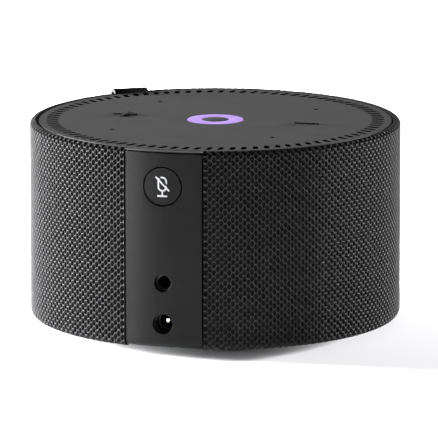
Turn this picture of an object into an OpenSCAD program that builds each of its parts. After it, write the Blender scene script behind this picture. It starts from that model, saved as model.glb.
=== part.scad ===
// Round tabletop smart home hub: a fabric-wrapped speaker with a flat touch top, a ring light,
// a slotted sound outlet, a rear strip with a mute button, a sound outlet and a power inlet.
// Millimetres. +Z is up, the origin is under the middle of the foot and the rear strip faces +Y.

/* [Body] */
// Outside diameter over the fabric
body_d = 98; // [97.6:0.1:98.6]
// Height of the fabric body, without the foot
body_h = 52; // [51.8:0.1:52.4]
// Radius of the rounded edge at the top of the fabric
top_round = 1.1; // [0.8:0.1:1.2]
// Radius of the rounded edge at the bottom of the fabric
bottom_round = 1.8; // [1.2:0.1:2]
// Thickness of the fabric
fabric_t = 0.5; // [0.4:0.1:0.5]
// Diameter of the rubber foot
foot_d = 74; // [60:1:76]
// Height of the rubber foot below the body
foot_h = 2; // [1.6:0.1:2.4]

/* [Top] */
// Radius of the top plate
plate_r = 46.7; // [46.5:0.1:46.8]
// Thickness of the top plate
plate_t = 2; // [1.9:0.1:2.1]
// Number of sound slots round the top plate
slot_count = 90; // [60:6:96]
// Radius of the middle of the slots
slot_r = 43.15; // [43:0.05:43.3]
// Length of each slot
slot_l = 3.6; // [2.5:0.1:3.8]
// Width of each slot
slot_w = 1.45; // [0.8:0.05:1.5]
// Angle of each slot away from the radius
slot_skew = 17; // [0:1:25]
// Outer radius of the light ring
light_r = 7.5; // [6.5:0.1:8]
// Inner radius of the light ring
light_inner_r = 3.6; // [2.5:0.1:4]
// Distance of the plus and minus marks from the middle
mark_x = 25; // [22:0.5:27]
// Length of the bars of the plus and minus marks
mark_l = 6.8; // [5:0.1:8]
// Radius of the circle of the four microphone holes
mic_r = 30.8; // [29:0.2:31]

/* [Rear strip] */
// Angle that the rear strip covers
panel_angle = 24.2; // [23.6:0.1:24.6]
// Height of the mute button's middle
button_z = 44.8; // [44.6:0.1:45]
// Diameter of the mute button's hole
button_hole_d = 10.4; // [10.2:0.1:10.6]
// Travel of the mute button
button_travel = 0.4; // [0.2:0.05:0.4]
// Height of the sound outlet's middle
audio_z = 19.35; // [19.2:0.05:19.4]
// Height of the power inlet's middle
power_z = 8.67; // [8.6:0.01:8.8]

/* [Hidden] */
$fn = 96;

e = 1;                              // how far a cutter runs past a face
body_r = body_d / 2;
z_base = foot_h;
z_top = foot_h + body_h;
rear = 90;                          // azimuth of the rear strip
quarters = [45, 135, 225, 315];

// Rim of the top: groove round the plate, then the fabric's inner edge
groove_r = plate_r + 0.4;
rim_lip_t = 0.2;                    // smooth lip that bridges the rear strip
panel_gap = 0.35;
panel_top = z_top - rim_lip_t - panel_gap;
seam_angle = 0.35;

// Housing wall
wall_out = body_r - fabric_t - 0.1;
wall_in = wall_out - 2.1;
plate_bottom = z_top - plate_t;
base_t = 2.2;
base_top = z_base + base_t;
base_r = wall_in - 0.1;

// Levels inside
board_z = 14.6;
board_t = 1.2;
board_r = 43;
board_top = board_z + board_t;
baffle_z = 39.4;
baffle_t = 2;
baffle_top = baffle_z + baffle_t;
touch_z = 49.6;
touch_t = 1;
touch_top = touch_z + touch_t;
arm_z = 47.2;
arm_t = 1.8;
arm_r = 37.6;                       // radius of the top plate's screws
arm_pilot_r = 0.9;
touch_screw_r = 22;                 // radius of the touch board's screws
touch_screw_angles = [90, 210, 330];
touch_boss_r = 2.4;
touch_pilot_r = 0.8;
lug_r = wall_in - 2.4;              // radius of the baffle's screws
box_r = 32.4;
box_wall = 1.6;
box_top = baffle_z - 0.5;
ear_r = 35;
ear_angles = [0, 60, 120, 180, 240, 300];
base_screw_xy = 19.4;
speaker_screw_r = 27.6;

// Speaker
flange_z = baffle_top + 0.5;
flange_top = flange_z + 1.2;
coil_r = 9.4;
gap_r = 9.95;
pole_r = 8.8;
yoke_r = 16.5;
magnet_r = 18;
yoke_z = 17.9;
magnet_z = yoke_z + 2.5;
magnet_top = magnet_z + 6;
basket_z = magnet_top + 2.5;
spider_z = 33.6;
cone_z = 36.6;
roll_r = 22.7;
roll_outer = 1.9;
paper_t = 0.4;

// Mute button stack
button_r = button_hole_d / 2 - 0.35;
stem_y = 42.5;
switch_y = 37.4;
switch_t = 3.6;
bracket_pin_x = 5;
bracket_pin_y = 33.8;
bracket_pin_r = 0.9;

// Rear connectors
jack_back = 33.4;
audio_bore_r = 1.8;
audio_opening_r = 2.22;             // opening in the rear strip
audio_mouth = 47.2;
power_bore_r = 2.4;
power_opening_r = 2.65;             // opening in the rear strip
power_inner_r = 2.05;
power_collar_r = 4.1;
power_mouth = 46.5;
power_guide = 2.4;
pin_r = 0.83;

// ---------------------------------------------------------------- helpers

module at(angle, r, z = 0) {
    rotate([0, 0, angle]) translate([r, 0, z]) children();
}

module disc(r, z0, z1) {
    translate([0, 0, z0]) cylinder(r = r, h = z1 - z0);
}

module ring(r_in, r_out, z0, z1) {
    difference() {
        disc(r_out, z0, z1);
        disc(r_in, z0 - e, z1 + e);
    }
}

// Block between two corners
module block(p, q) {
    translate(p) cube(q - p);
}

// Cylinder along +Y from y0 to y1
module rod_y(r, y0, y1, x, z) {
    translate([x, y1, z]) rotate([90, 0, 0]) cylinder(r = r, h = y1 - y0);
}

// Part of a ring's profile, turned through an angle centred on an azimuth
module sector(azimuth, angle) {
    rotate([0, 0, azimuth - angle / 2]) rotate_extrude(angle = angle) children();
}

// Rectangle r0..r1, z0..z1 in a profile
module span(r0, r1, z0, z1) {
    translate([r0, z0]) square([r1 - r0, z1 - z0]);
}

// Rectangle with round outer corners, for the body's profile
module body_profile(r_in, r_out, z0, z1, low, high) {
    intersection() {
        span(r_in, r_out, z0, z1);
        union() {
            span(r_in, r_out - high, z0, z1);
            span(r_in, r_out - low, z0, z1 - high);
            span(r_in, r_out, z0 + low, z1 - high);
            translate([r_out - low, z0 + low]) circle(r = low);
            translate([r_out - high, z1 - high]) circle(r = high);
        }
    }
}

// Round-ended bar between two points of a plane
module stroke(p, q, w) {
    d = q - p;
    translate(p) circle(d = w);
    translate(q) circle(d = w);
    translate((p + q) / 2) rotate(atan2(d[1], d[0])) square([norm(d), w], center = true);
}

// Screw with its head's underside at z = 0, shank along +Z
module screw(head_r, head_h, shank_r, shank_l) {
    difference() {
        union() {
            translate([0, 0, -head_h]) cylinder(r = head_r, h = head_h);
            cylinder(r = shank_r, h = shank_l);
        }
        for (turn = [0, 90])
            rotate([0, 0, turn])
                translate([-head_r * 0.6, -0.25, -head_h - e]) cube([head_r * 1.2, 0.5, e + 0.6]);
    }
}

// Round wire along a list of points
module wire(points, r) {
    for (i = [0 : len(points) - 2]) {
        d = points[i + 1] - points[i];
        translate(points[i])
            rotate([0, acos(d[2] / norm(d)), atan2(d[1], d[0])])
                cylinder(r = r, h = norm(d), $fn = 24);
    }
    for (i = [1 : len(points) - 2])
        translate(points[i]) sphere(r = r * 1.1, $fn = 24);
}

// ---------------------------------------------------------------- top

module slot_outline() {
    stroke([-(slot_l - slot_w) / 2, 0], [(slot_l - slot_w) / 2, 0], slot_w);
}

module top_cover() {
    chamfer = 0.3;
    boss_r = 2.8;
    mic_hole_r = 0.55;
    color("#5b5b5c")
        difference() {
            union() {
                rotate_extrude()
                    polygon([
                        [0, plate_bottom], [plate_r, plate_bottom], [plate_r, z_top - chamfer],
                        [plate_r - chamfer, z_top], [0, z_top]
                    ]);
                for (a = quarters)
                    at(a, arm_r) disc(boss_r, arm_z + arm_t, plate_bottom + 0.1);
                for (a = touch_screw_angles)
                    at(a, touch_screw_r) disc(touch_boss_r, touch_top, plate_bottom + 0.1);
            }
            disc(light_r + 0.1, plate_bottom - e, z_top + e);
            for (i = [0 : slot_count - 1])
                at(rear + (i + 0.5) * 360 / slot_count, slot_r, plate_bottom - e)
                    rotate([0, 0, -slot_skew]) linear_extrude(height = plate_t + 2 * e) slot_outline();
            for (a = quarters) {
                at(a, mic_r) disc(mic_hole_r, plate_bottom - e, z_top + e);
                at(a, arm_r) disc(arm_pilot_r, arm_z, z_top - 1);
            }
            for (a = touch_screw_angles)
                at(a, touch_screw_r) disc(touch_pilot_r, touch_z, z_top - 1);
        }
}

module touch_marks() {
    bar_w = 0.8;
    raised = 0.3;
    color("#6f6f70")
        for (side = [-1, 1])
            translate([side * mark_x, 0, z_top])
                linear_extrude(height = raised)
                    union() {
                        stroke([-mark_l / 2, 0], [mark_l / 2, 0], bar_w);
                        if (side > 0)
                            stroke([0, -mark_l / 2], [0, mark_l / 2], bar_w);
                    }
}

module light_ring_lens() {
    color("#c0a8ea")
        union() {
            disc(light_r + 1.5, plate_bottom - 0.6, plate_bottom);
            ring(light_inner_r, light_r, plate_bottom, z_top);
        }
}

module centre_cap() {
    color("#5b5b5c") disc(light_inner_r - 0.05, plate_bottom, z_top);
}

module slot_mesh() {
    color("#0c0c0d") ring(40.9, 45.6, plate_bottom - 0.4, plate_bottom);
}

module top_cover_screws() {
    color("#9a9a9a")
        for (a = quarters)
            at(a, arm_r, arm_z) screw(2, 1.4, arm_pilot_r, 5);
}

module touch_board() {
    color("#1f5a3a")
        difference() {
            disc(34.5, touch_z, touch_top);
            for (a = quarters)
                at(a, mic_r) disc(0.5, touch_z - e, touch_top + e);
            for (a = touch_screw_angles)
                at(a, touch_screw_r) disc(touch_pilot_r + 0.2, touch_z - e, touch_top + e);
        }
}

module touch_board_screws() {
    color("#9a9a9a")
        for (a = touch_screw_angles)
            at(a, touch_screw_r, touch_z) screw(1.7, 1.2, touch_pilot_r, 3);
}

module touch_foam_pads() {
    color("#3a3a3c")
        for (side = [-1, 1])
            translate([side * mark_x, 0, 0]) disc(4, touch_top, plate_bottom);
}

module status_leds() {
    led_count = 8;
    led_w = 1.6;
    color("#f4f0e0")
        for (i = [0 : led_count - 1])
            at(i * 360 / led_count, 5.6)
                block([-led_w / 2, -led_w / 2, touch_top], [led_w / 2, led_w / 2, touch_top + 0.6]);
}

module light_baffle() {
    color("#1a1a1b") ring(light_r + 1.7, light_r + 3.1, touch_top, plate_bottom);
}

module microphones() {
    color("#c9c4b0")
        for (a = quarters)
            at(a, mic_r) block([-1.5, -2, touch_z - 1], [1.5, 2, touch_z]);
}

module mic_seals() {
    color("#29292b")
        for (a = quarters)
            at(a, mic_r) ring(0.8, 2.2, touch_top, plate_bottom);
}

// ---------------------------------------------------------------- skin and housing

// Clearance for the loop tag where it leaves the rim
tag_angle = -45;
tag_w = 10.2;
tag_t = 0.8;
tag_arch_r = 1.15;                  // radius of the middle of the strap over the rim
tag_in = plate_r + 0.1 + tag_t / 2; // radius of the inner leg's middle
tag_arch_z = z_top - 0.5;
tag_drop = 42.5;                    // height of the outer leg's end

module tag_notch() {
    at(tag_angle, 0)
        block([plate_r - 0.6, -tag_w / 2 - 0.2, z_top - 2.2],
              [tag_in + tag_t / 2 + 0.35, tag_w / 2 + 0.2, z_top + e]);
}

module fabric_sleeve() {
    color("#2f2f30")
        difference() {
            sector(rear + 180, 360 - panel_angle - 2 * seam_angle)
                difference() {
                    body_profile(base_r, body_r, z_base, z_top, bottom_round, top_round);
                    body_profile(
                        base_r - e, body_r - fabric_t, z_base + fabric_t, z_top - fabric_t,
                        bottom_round - fabric_t, top_round - fabric_t
                    );
                    span(base_r - e, groove_r, z_top - fabric_t - e, z_top + e);
                }
            tag_notch();
        }
}

module loop_tag() {
    tag_out = tag_in + 2 * tag_arch_r;
    color("#3b3b3d")
        at(tag_angle, 0)
            translate([0, tag_w / 2, 0]) rotate([90, 0, 0])
                linear_extrude(height = tag_w)
                    union() {
                        intersection() {
                            translate([tag_in + tag_arch_r, tag_arch_z])
                                difference() {
                                    circle(r = tag_arch_r + tag_t / 2);
                                    circle(r = tag_arch_r - tag_t / 2);
                                }
                            span(tag_in - tag_t, tag_out + tag_t, tag_arch_z, tag_arch_z + 2 * tag_arch_r);
                        }
                        span(tag_in - tag_t / 2, tag_in + tag_t / 2, z_top - 1.9, tag_arch_z);
                        span(tag_out - tag_t / 2, tag_out + tag_t / 2, tag_drop, tag_arch_z);
                    }
}

// Screw bosses inside the rear strip and the crossbar that holds them
boss_x = 6;
boss_z = 30;
bar_y0 = 42.4;
bar_y1 = 44.2;

module rear_panel() {
    panel_in = body_r - 2.2;
    lip_in = body_r - 0.95;
    color("#3c3c3d")
        difference() {
            union() {
                sector(rear, panel_angle)
                    union() {
                        body_profile(panel_in, body_r, z_base + 0.3, z_top - 2.6, bottom_round, 0.3);
                        body_profile(lip_in, body_r, z_top - 3.2, panel_top, 0.2, 0.3);
                    }
                for (side = [-1, 1])
                    rod_y(2.2, bar_y1, panel_in + 0.2, side * boss_x, boss_z);
            }
            rod_y(button_hole_d / 2, bar_y0, body_r + e, 0, button_z);
            rod_y(audio_opening_r, bar_y0, body_r + e, 0, audio_z);
            rod_y(power_opening_r, bar_y0, body_r + e, 0, power_z);
            for (side = [-1, 1])
                rod_y(0.9, bar_y1 - e, panel_in + 0.8, side * boss_x, boss_z);
        }
}

module panel_screws() {
    color("#9a9a9a")
        for (side = [-1, 1])
            translate([side * boss_x, bar_y0, boss_z]) rotate([-90, 0, 0]) screw(1.8, 1.2, 0.9, 4.4);
}

module inner_housing() {
    window_w = 5;
    window_z0 = baffle_top + 1.2;
    window_z1 = z_top - 4;
    opening = panel_angle + 0.8;
    under = fabric_t + 0.1;
    web_x = 10.5;
    color("#141415")
        difference() {
            union() {
                difference() {
                    rotate_extrude()
                        body_profile(
                            wall_in, wall_out, z_base + under, z_top - under,
                            bottom_round - under, top_round - under
                        );
                    disc(groove_r - 0.05, plate_bottom, z_top);
                    sector(rear, opening) span(wall_in - 2 * e, body_r, 0, z_top + e);
                    for (i = [2 : 28])
                        at(rear + i * 12, 0)
                            block([wall_in - e, -window_w / 2, window_z0], [body_r, window_w / 2, window_z1]);
                }
                sector(rear, opening + 0.4)
                    span(groove_r + 0.3, body_r - 1.35, plate_bottom - 0.6, z_top - under - 0.6);
                sector(rear, panel_angle + 2 * seam_angle - 0.1)
                    union() {
                        span(groove_r + 0.1, body_r - 1.2, z_top - under - 0.8, z_top);
                        span(groove_r + 0.1, body_r - 0.15, z_top - rim_lip_t, z_top);
                    }
                for (a = quarters)
                    rotate([0, 0, a]) {
                        block([arm_r - 2.6, -4, arm_z], [wall_in + 0.2, 4, arm_z + arm_t]);
                        block([lug_r - 2.4, -3.4, baffle_top], [wall_in + 0.2, 3.4, baffle_top + 4.6]);
                    }
                for (side = [-1, 1])
                    block([side > 0 ? web_x : -web_x - 2, bar_y0, boss_z - 3.5],
                          [side > 0 ? web_x + 2 : -web_x, 46, boss_z + 3.5]);
                block([-web_x - e, bar_y0, boss_z - 3.5], [web_x + e, bar_y1, boss_z + 3.5]);
            }
            for (a = quarters) {
                at(a, arm_r) disc(1.3, arm_z - e, arm_z + arm_t + e);
                at(a, lug_r) disc(1, baffle_top - e, baffle_top + 4);
            }
            for (side = [-1, 1])
                rod_y(1, bar_y0 - e, bar_y1 + e, side * boss_x, boss_z);
            tag_notch();
        }
}

// ---------------------------------------------------------------- base

module base_cover() {
    boss_r = 3.6;
    color("#232324")
        difference() {
            union() {
                rotate_extrude()
                    polygon([
                        [0, z_base], [base_r - 0.4, z_base], [base_r, z_base + 0.4],
                        [base_r, base_top], [0, base_top]
                    ]);
                difference() {
                    ring(base_r - 1.4, base_r - 0.2, base_top - 0.1, base_top + 2);
                    block([-12, 30, base_top - 1], [12, 50, base_top + 3]);
                }
                for (x = [-1, 1], y = [-1, 1])
                    translate([x * base_screw_xy, y * base_screw_xy, 0])
                        disc(boss_r, base_top - 0.1, board_z);
            }
            disc(foot_d / 2 + 0.1, z_base - e, z_base + 0.6);
            for (x = [-1, 1], y = [-1, 1])
                translate([x * base_screw_xy, y * base_screw_xy, 0]) {
                    disc(1.35, z_base, board_z + e);
                    disc(2.5, z_base, z_base + 3);
                }
        }
}

module base_screws() {
    color("#9a9a9a")
        for (x = [-1, 1], y = [-1, 1])
            translate([x * base_screw_xy, y * base_screw_xy, z_base + 3]) screw(2.3, 2, 1, 16);
}

module foot_pad() {
    edge = 0.5;
    groove_w = 1.2;
    color("#1b1b1c")
        rotate_extrude()
            difference() {
                body_profile(0, foot_d / 2, 0, z_base + 0.6, edge, 0.1);
                span(foot_d / 2 - 6, foot_d / 2 - 6 + groove_w, -e, 0.5);
            }
}

// ---------------------------------------------------------------- speaker module

module speaker_box() {
    boss_h = 5.6;
    ear_half = 2.4;
    ear_h = 5.4;
    ear_z = baffle_z - ear_h + 0.2;
    color("#1d1d1f")
        difference() {
            union() {
                difference() {
                    disc(box_r, board_top, box_top);
                    disc(box_r - box_wall, board_top + box_wall, box_top + e);
                }
                for (x = [-1, 1], y = [-1, 1])
                    translate([x * base_screw_xy, y * base_screw_xy, 0])
                        disc(3.2, board_top + box_wall - 0.1, board_top + box_wall + boss_h);
                for (a = ear_angles)
                    difference() {
                        union() {
                            at(a, ear_r) disc(2.8, baffle_z - ear_h, baffle_z);
                            rotate([0, 0, a])
                                block([box_r - 1, -ear_half, ear_z], [ear_r, ear_half, box_top - 0.2]);
                        }
                        disc(box_r - 0.6, 0, z_top);
                    }
            }
            for (x = [-1, 1], y = [-1, 1])
                translate([x * base_screw_xy, y * base_screw_xy, 0]) disc(1, board_top - e, board_top + 6.2);
            for (a = ear_angles)
                at(a, ear_r) disc(1, baffle_z - 4.4, baffle_z + e);
            at(grommet_angle, box_r - 2 * box_wall, grommet_z) rotate([0, 90, 0])
                cylinder(r = grommet_r, h = 6);
        }
}

grommet_angle = 210;
grommet_z = 27;
grommet_r = 2;

module wire_grommet() {
    color("#121213")
        at(grommet_angle, 0, grommet_z) rotate([0, 90, 0])
            difference() {
                union() {
                    translate([0, 0, box_r - box_wall - 0.2])
                        cylinder(r = grommet_r - 0.05, h = box_wall + 0.6);
                    translate([0, 0, box_r + 0.1]) cylinder(r = grommet_r + 0.8, h = 0.8);
                }
                for (side = [-1, 1])
                    translate([0, side * 0.8, 20]) cylinder(r = 0.56, h = 20);
            }
}

module box_gasket() {
    color("#111112") ring(box_r - box_wall + 0.1, box_r - 0.7, box_top, baffle_z);
}

module speaker_box_screws() {
    color("#9a9a9a")
        for (a = ear_angles)
            at(a, ear_r, baffle_top) rotate([180, 0, 0]) screw(1.9, 1.3, 1, 5.8);
}

module speaker_baffle() {
    cone_opening_r = 25.2;
    switch_notch = [9, 42.8];
    cable_notch = [42.4, 44.6, 5.5];
    color("#202022")
        difference() {
            union() {
                disc(wall_in - 0.3, baffle_z, baffle_top);
                for (side = [-1, 1])
                    translate([side * bracket_pin_x, bracket_pin_y, 0])
                        disc(bracket_pin_r, baffle_top - 0.1, baffle_top + 1.8);
            }
            disc(cone_opening_r, baffle_z - e, baffle_top + e);
            block([-switch_notch[0], switch_notch[1], baffle_z - e],
                  [switch_notch[0], body_r, baffle_top + e]);
            block([-cable_notch[1], -cable_notch[2], baffle_z - e],
                  [-cable_notch[0], cable_notch[2], baffle_top + e]);
            for (a = quarters) {
                at(a, lug_r) disc(1.4, baffle_z - e, baffle_top + e);
                at(a, speaker_screw_r) disc(0.9, baffle_z - e, baffle_top + e);
            }
            for (a = ear_angles)
                at(a, ear_r) disc(1.3, baffle_z - e, baffle_top + e);
        }
}

module baffle_screws() {
    color("#9a9a9a")
        for (a = quarters)
            at(a, lug_r, baffle_z) screw(1.9, 1.4, 1, 5.6);
}

module speaker_basket() {
    rib_in = 17;
    basket_r = 30.2;
    rim_in = 24.4;
    ledge_r = 18.2;                 // radius of the ledge that carries the spider
    floor_in = 11;
    metal_t = 1.2;
    color("#3b3d40")
        difference() {
            union() {
                ring(rim_in, basket_r, flange_z, flange_top);
                rotate_extrude()
                    polygon([
                        [rim_in, flange_z + 0.1], [rim_in + 0.6, flange_z + 0.1],
                        [rim_in + 0.6, flange_z - 1.4], [ledge_r + 2.4, spider_z + 0.6],
                        [ledge_r + 2.4, spider_z], [ledge_r, basket_z + 0.6], [ledge_r, basket_z],
                        [floor_in, basket_z], [floor_in, basket_z + metal_t],
                        [ledge_r - 1, basket_z + metal_t], [ledge_r, spider_z],
                        [ledge_r + 1.4, spider_z], [ledge_r + 1.4, spider_z + 0.6],
                        [rim_in, flange_z - 1.8]
                    ]);
            }
            for (a = quarters)
                at(a, speaker_screw_r) disc(1.3, flange_z - e, flange_top + e);
            for (a = [0 : 60 : 300])
                rotate([0, 0, a])
                    block([rib_in, -5, basket_z + 1.8], [26, 5, spider_z - 0.6]);
            for (a = [30 : 60 : 330])
                rotate([0, 0, a])
                    block([19, -6, spider_z + 1.4], [30, 6, flange_z - 2]);
        }
}

module speaker_gasket() {
    color("#111112")
        difference() {
            ring(25.6, 29.8, baffle_top, flange_z);
            for (a = quarters)
                at(a, speaker_screw_r) disc(1.2, baffle_top - e, flange_z + e);
        }
}

module speaker_screws() {
    color("#9a9a9a")
        for (a = quarters)
            at(a, speaker_screw_r, flange_top) rotate([180, 0, 0]) screw(2, 1.3, 0.9, 3.6);
}

module magnet() {
    color("#2b2b2e") ring(gap_r + 1.55, magnet_r, magnet_z, magnet_top);
}

module magnet_yoke() {
    color("#8d9096")
        union() {
            disc(yoke_r, yoke_z, magnet_z);
            disc(pole_r, magnet_z - 0.1, basket_z);
        }
}

module magnet_top_plate() {
    color("#8d9096") ring(gap_r, yoke_r, magnet_top, basket_z);
}

module voice_coil() {
    color("#b06a35")
        union() {
            ring(coil_r - 0.25, coil_r, magnet_z + 3, cone_z + 0.4);
            ring(coil_r - 0.1, coil_r + 0.22, magnet_z + 3.4, magnet_z + 9.6);
        }
}

module speaker_cone() {
    foot = coil_r + 0.05;
    edge = 20.7;
    color("#232325")
        rotate_extrude()
            polygon([
                [foot, cone_z - 0.6], [foot + 0.5, cone_z - 0.6], [edge - 0.8, flange_top - paper_t],
                [edge, flange_top - paper_t], [edge, flange_top], [edge - 1.2, flange_top],
                [foot, cone_z + 0.2]
            ]);
}

module dust_cap() {
    dome_r = 15;
    rim_r = 8.6;
    dome_z = cone_z + 0.4 - sqrt(dome_r * dome_r - rim_r * rim_r);
    color("#1a1a1c")
        intersection() {
            difference() {
                translate([0, 0, dome_z]) sphere(r = dome_r);
                translate([0, 0, dome_z]) sphere(r = dome_r - paper_t);
            }
            disc(coil_r, cone_z + 0.4, cone_z + 8);
        }
}

module cone_surround() {
    color("#0f0f10")
        rotate_extrude()
            union() {
                intersection() {
                    translate([roll_r, flange_top])
                        difference() {
                            circle(r = roll_outer + 0.2);
                            circle(r = roll_outer - 0.2);
                        }
                    span(15, 30, flange_top, flange_top + 5);
                }
                span(roll_r + roll_outer - 0.2, 25.4, flange_top, flange_top + 0.35);
                span(19.8, roll_r - roll_outer + 0.2, flange_top, flange_top + 0.3);
            }
}

module spider() {
    rolls = 4;
    r0 = coil_r + 0.1;
    r1 = 19.5;
    pitch = (r1 - r0) / (2 * rolls);
    half = 0.15;
    up = [for (i = [0 : 2 * rolls]) [r0 + i * pitch, spider_z + 1 + (i % 2 == 0 ? 0 : 0.7)]];
    color("#c9a24a")
        rotate_extrude()
            union() {
                for (i = [0 : 2 * rolls - 1])
                    polygon([
                        up[i] - [0, half], up[i + 1] - [0, half], up[i + 1] + [0, half], up[i] + [0, half]
                    ]);
                span(r1 - 0.6, r1, spider_z + 0.7, spider_z + 1.15);
            }
}

module speaker_terminals() {
    color("#b9a15a")
        rotate([0, 0, grommet_angle])
            union() {
                block([20.65, -3.4, spider_z - 2], [21.4, 3.4, spider_z + 0.5]);
                for (side = [-1, 1])
                    block([21.3, side * 1.8 - 0.5, spider_z - 1.4], [23, side * 1.8 + 0.5, spider_z - 0.9]);
            }
}

wire_r = 0.5;
plug_x = -31.5;
plug_y = -20;
plug_top = board_top + 4;

function polar(r, a, side, z) = [
    r * cos(a) - side * sin(a),
    r * sin(a) + side * cos(a),
    z
];

module speaker_wires() {
    for (side = [-1, 1])
        color(side > 0 ? "#b03030" : "#202020")
            wire([
                polar(23.1, grommet_angle, side * 1.8, spider_z - 1.15),
                polar(25, grommet_angle, side * 1.8, spider_z - 2),
                polar(29, grommet_angle, side * 0.8, grommet_z),
                polar(35.2, grommet_angle, side * 0.8, grommet_z),
                [plug_x - 0.6, plug_y - side, grommet_z - 3],
                [plug_x - 0.6, plug_y - side, plug_top]
            ], wire_r);
}

// ---------------------------------------------------------------- main board

module main_board() {
    color("#1f5a3a")
        difference() {
            disc(board_r, board_z, board_top);
            for (x = [-1, 1], y = [-1, 1])
                translate([x * base_screw_xy, y * base_screw_xy, 0]) disc(1.35, board_z - e, board_top + e);
        }
}

chip_y = -12;
chip_w = 12;
chip_t = 1.2;
can_w = 22;
can_l = 18;
can_depth = 2.4;
pad_t = 0.6;

module processor() {
    half = chip_w / 2;
    color("#161618") block([-half, chip_y - half, board_z - chip_t], [half, chip_y + half, board_z]);
}

module shield_can() {
    sheet = 0.3;
    color("#b9bcc0")
        difference() {
            block([-can_w / 2, chip_y - can_l / 2, board_z - can_depth],
                  [can_w / 2, chip_y + can_l / 2, board_z]);
            block([sheet - can_w / 2, chip_y + sheet - can_l / 2, board_z - can_depth + sheet],
                  [can_w / 2 - sheet, chip_y + can_l / 2 - sheet, board_z + e]);
        }
}

module thermal_pads() {
    can_z = board_z - can_depth;
    color("#9fb4c8")
        union() {
            block([0.5 - chip_w / 2, chip_y + 0.5 - chip_w / 2, can_z + 0.3],
                  [chip_w / 2 - 0.5, chip_y + chip_w / 2 - 0.5, board_z - chip_t]);
            block([2 - can_w / 2, chip_y + 2 - can_l / 2, can_z - pad_t],
                  [can_w / 2 - 2, chip_y + can_l / 2 - 2, can_z]);
        }
}

module heat_spreader() {
    half_x = 14.5;
    half_y = 14;
    top = board_z - can_depth - pad_t;
    sheet = 1.2;
    color("#c4c7ca")
        difference() {
            block([-half_x, chip_y - half_y, base_top], [half_x, chip_y + half_y, top]);
            block([-half_x - e, chip_y - half_y + sheet, base_top - e],
                  [half_x + e, chip_y + half_y - sheet, top - sheet]);
        }
}

module power_parts() {
    color("#4a4d52")
        union() {
            for (side = [-1, 1]) {
                translate([side * 29, 9, 0]) disc(4, board_z - 8.4, board_z);
                block([side * 11 - 3.5, 11, board_z - 4], [side * 11 + 3.5, 18, board_z]);
            }
            block([9, 25, board_z - 1], [16, 32, board_z]);
            block([-17, 25, board_z - 1], [-11, 31, board_z]);
        }
}

touch_plug_x = -33;

module board_connectors() {
    color("#d8d4c6")
        union() {
            block([-40.6, -5, board_top], [-36.2, 5, board_top + 2.2]);
            block([touch_plug_x, -5, touch_z - 2.2], [touch_plug_x + 4.5, 5, touch_z]);
            block([plug_x - 2.4, plug_y - 2.6, board_top], [plug_x + 1.8, plug_y + 2.6, plug_top]);
        }
}

module ribbon_cable() {
    t = 0.3;
    route = [
        [-38.4, board_top + 2.2], [-38.4, 21], [-43.5, 27], [-43.5, 43.6],
        [-38, touch_z - 1.1], [touch_plug_x, touch_z - 1.1]
    ];
    last = len(route) - 1;
    color("#d9d2bd")
        translate([0, 4, 0]) rotate([90, 0, 0])
            linear_extrude(height = 8)
                union() {
                    for (i = [0 : last - 1])
                        let (d = route[i + 1] - route[i])
                            translate((route[i] + route[i + 1]) / 2) rotate(atan2(d[1], d[0]))
                                square([norm(d), t], center = true);
                    for (i = [1 : last - 1])
                        translate(route[i]) circle(d = t, $fn = 24);
                }
}

antenna_angles = [-8, 218];

module wifi_antennas() {
    color("#c98f3a")
        for (a = antenna_angles)
            sector(a, 15) span(wall_in - 0.4, wall_in - 0.05, 22, 32);
}

module antenna_leads() {
    color("#3d3d40")
        for (a = antenna_angles)
            wire([
                polar(wall_in - 0.9, a, 0, 24),
                polar(wall_in - 0.9, a, 0, 19.5),
                polar(41, a, 0, 18),
                polar(41, a, 0, board_top)
            ], 0.45);
}

// ---------------------------------------------------------------- rear connectors and mute switch

module audio_jack() {
    color("#0d0d0e")
        difference() {
            union() {
                block([-3.2, jack_back, board_top], [3.2, 45.6, board_top + 6.6]);
                rod_y(2.1, 45.5, audio_mouth, 0, audio_z);
            }
            rod_y(audio_bore_r, jack_back + 0.5, audio_mouth + e, 0, audio_z);
        }
}

module power_jack() {
    color("#0d0d0e")
        difference() {
            union() {
                block([-4.5, jack_back, base_top + 0.1], [4.5, 45, board_z]);
                rod_y(power_collar_r, 44.9, power_mouth, 0, power_z);
            }
            rod_y(power_bore_r, power_mouth - power_guide, power_mouth + e, 0, power_z);
            rod_y(power_inner_r, jack_back + 1.6, power_mouth, 0, power_z);
            rod_y(pin_r, jack_back - e, power_mouth, 0, power_z);
        }
}

module power_pin() {
    tip = power_mouth - power_guide - 0.1;
    color("#c8c9cc")
        union() {
            rod_y(pin_r, jack_back - 1.5, tip - 0.4, 0, power_z);
            translate([0, tip - 0.4, power_z]) rotate([-90, 0, 0])
            cylinder(r1 = pin_r, r2 = pin_r - 0.35, h = 0.4);
        }
}

module icon_outline() {
    w = 0.42;
    half = 1.06;
    high = 1.3;
    low = -0.05;
    foot = -2.5;
    slash_a = [-1.65, 2.34];
    slash_b = [1.7, -1.01];
    difference() {
        union() {
            difference() {
                stroke([0, low], [0, high], 2 * half + w);
                stroke([0, low], [0, high], 2 * half - w);
            }
            stroke([0, low - half], [0, foot], w);
        }
        translate([w, w]) stroke(slash_a, slash_b, w * 1.1);
    }
    stroke([-1.15, foot], [1.15, foot], w);
    stroke(slash_a, slash_b, w);
}

icon_depth = 0.2;

module icon_solid(r_in, r_out) {
    intersection() {
        ring(r_in, r_out, button_z - 4, button_z + 4);
        translate([0, body_r + 2, button_z]) rotate([90, 0, 0])
            linear_extrude(height = 4) mirror([1, 0]) icon_outline();
    }
}

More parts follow.
